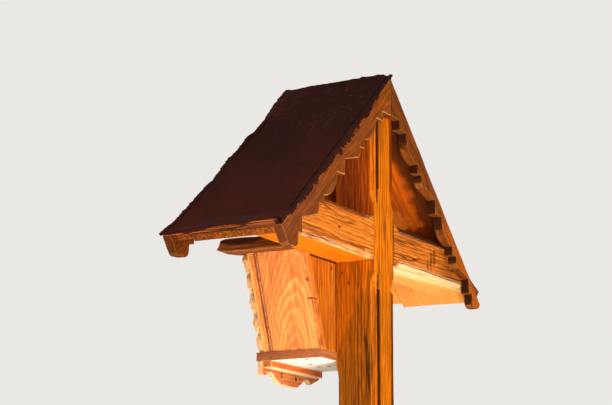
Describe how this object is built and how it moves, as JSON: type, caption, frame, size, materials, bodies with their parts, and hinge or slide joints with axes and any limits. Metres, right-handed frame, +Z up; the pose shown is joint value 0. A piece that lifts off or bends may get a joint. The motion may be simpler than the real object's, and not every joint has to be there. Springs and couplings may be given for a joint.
{
  "type": "wooden grave cross with a roof and a shrine box",
  "caption": "Square post and crossbeam under a saddle roof with scalloped bargeboards; an open box with leaning sides hangs in front of the post.",
  "frame": {"origin": "centre of the post's foot, at ground level", "axes": "+Z up along the post, X along the crossbeam, -Y towards the open front of the shrine box"},
  "size_m": [0.9998, 0.302, 2.001],
  "materials": {
    "post_wood": "weathered, straight grained softwood",
    "beam_wood": "weathered softwood with drying cracks",
    "roof_wood": "rough sawn softwood",
    "bargeboard_wood": "weathered, sawn edges",
    "box_wood": "planed softwood with flame grain",
    "trim_wood": "carved softwood",
    "roof_sheet": "thin sheet, weathered almost black"
  },
  "bodies": {
    "root": {"apron": "trim_wood", "back_board_left": "box_wood", "back_board_middle": "box_wood", "back_board_right": "box_wood", "box_floor": "box_wood", "box_rail_left": "beam_wood", "box_rail_right": "beam_wood", "box_side_left": "box_wood", "box_side_right": "box_wood", "covering_left": "roof_sheet", "covering_right": "roof_sheet", "crossbeam": "beam_wood", "eave_strip_left": "roof_wood", "eave_strip_right": "roof_wood", "front_bargeboard_left": "bargeboard_wood", "front_bargeboard_right": "bargeboard_wood", "front_rail": "box_wood", "front_stile_left": "box_wood", "front_stile_right": "box_wood", "post": "post_wood", "rear_bargeboard_left": "bargeboard_wood", "rear_bargeboard_right": "bargeboard_wood", "roof_board_left_front": "roof_wood", "roof_board_left_rear": "roof_wood", "roof_board_right_front": "roof_wood", "roof_board_right_rear": "roof_wood", "stile_trim_left": "trim_wood", "stile_trim_right": "trim_wood", "verge_hem_left_front": "roof_sheet", "verge_hem_left_rear": "roof_sheet", "verge_hem_right_front": "roof_sheet"}
  },
  "joints": []
}
